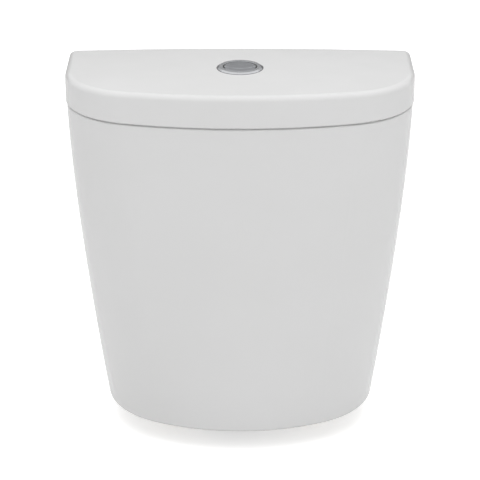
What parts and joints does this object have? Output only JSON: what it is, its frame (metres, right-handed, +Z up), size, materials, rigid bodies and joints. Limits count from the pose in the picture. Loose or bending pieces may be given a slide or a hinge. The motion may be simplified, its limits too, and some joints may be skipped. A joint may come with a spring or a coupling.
{
  "type": "toilet cistern",
  "caption": "Close-coupled toilet cistern in white ceramic: tapered tank, rounded lid, chromed two-part push button, flush valve and float-operated fill valve.",
  "frame": {"origin": "on the axis of the flush outlet, level with the foot of the tank", "axes": "+X to the right seen from the front, +Y to the wall, +Z up"},
  "size_m": [0.37, 0.1722, 0.4228],
  "materials": {
    "glaze": "gloss white glaze",
    "chrome": "polished",
    "white_plastic": "moulded",
    "blue_plastic": "moulded",
    "grey_plastic": "moulded",
    "rubber": "matt",
    "steel": "drawn wire",
    "brass": "turned"
  },
  "bodies": {
    "cistern": {"tank": "glaze", "valve_base": "white_plastic", "valve_back_nut": "white_plastic", "valve_tower": "white_plastic", "fill_riser": "white_plastic", "fill_head": "white_plastic", "fill_nut": "white_plastic", "rocker_pin": "white_plastic", "fill_head_ring": "blue_plastic", "fill_filter": "grey_plastic", "valve_washer": "rubber", "coupling_seal": "rubber", "fill_washer": "rubber", "fill_diaphragm": "rubber", "bolt_rubber_washers": "rubber", "lever_pin": "steel", "pan_bolts": "brass", "bolt_flat_washers": "brass", "bolt_lower_washers": "brass", "bolt_nuts": "brass"},
    "lid": {"lid": "glaze", "bezel": "chrome", "button_barrel": "white_plastic", "bezel_gasket": "rubber", "bezel_nut": "white_plastic", "full_spring": "steel", "half_spring": "steel"},
    "full_button": {"full_button": "chrome", "full_rod": "white_plastic"},
    "half_button": {"half_button": "chrome", "half_rod": "white_plastic"},
    "flush_tube": {"overflow_tube": "white_plastic", "flush_seal": "rubber", "seal_retainer": "white_plastic", "flush_float": "grey_plastic", "lift_yoke": "white_plastic"},
    "full_rocker": {"full_rocker": "blue_plastic"},
    "half_rocker": {"half_rocker": "blue_plastic"},
    "half_slider": {"half_slider": "blue_plastic", "half_float": "grey_plastic"},
    "fill_float": {"fill_float": "grey_plastic", "float_link": "grey_plastic", "float_clip": "blue_plastic"},
    "fill_lever": {"fill_lever": "blue_plastic"}
  },
  "joints": [
    {"name": "lid_lift", "type": "slide", "parent": "cistern", "child": "lid", "axis": [0, 0, 1], "range_m": [0, 0.14]},
    {"name": "full_flush_press", "type": "slide", "parent": "lid", "child": "full_button", "axis": [0, 0, -1], "range_m": [0, 0.006], "stiffness_N_per_m": 400, "springref_m": -0.005, "deforming": ["full_spring"]},
    {"name": "half_flush_press", "type": "slide", "parent": "lid", "child": "half_button", "axis": [0, 0, -1], "range_m": [0, 0.006], "stiffness_N_per_m": 400, "springref_m": -0.005, "deforming": ["half_spring"]},
    {"name": "full_rocker_turn", "type": "hinge", "parent": "cistern", "child": "full_rocker", "pos_m": [0, 0.008, 0.262], "axis": [1, 0, 0], "range_deg": [0, 35.53]},
    {"name": "flush_tube_lift", "type": "slide", "parent": "cistern", "child": "flush_tube", "axis": [0, 0, 1], "range_m": [0, 0.01221]},
    {"name": "half_rocker_turn", "type": "hinge", "parent": "cistern", "child": "half_rocker", "pos_m": [0, 0.008, 0.262], "axis": [1, 0, 0], "range_deg": [0, 18.48]},
    {"name": "half_slider_lift", "type": "slide", "parent": "cistern", "child": "half_slider", "axis": [0, 0, 1], "range_m": [0, 0.00835]},
    {"name": "fill_float_travel", "type": "slide", "parent": "cistern", "child": "fill_float", "axis": [0, 0, 1], "range_m": [0, 0.016]},
    {"name": "fill_lever_turn", "type": "hinge", "parent": "cistern", "child": "fill_lever", "pos_m": [-0.114, 0.02, 0.294], "axis": [0, -1, 0], "range_deg": [0, 27.65]}
  ],
  "couplings": [
    {"joint": "full_rocker_turn", "follows": "full_flush_press", "rad_per_m": 103.31},
    {"joint": "flush_tube_lift", "follows": "full_flush_press", "ratio": 2.0333},
    {"joint": "half_rocker_turn", "follows": "half_flush_press", "rad_per_m": 53.741},
    {"joint": "half_slider_lift", "follows": "half_flush_press", "ratio": 1.3912},
    {"joint": "fill_lever_turn", "follows": "fill_float_travel", "rad_per_m": 30.142}
  ]
}
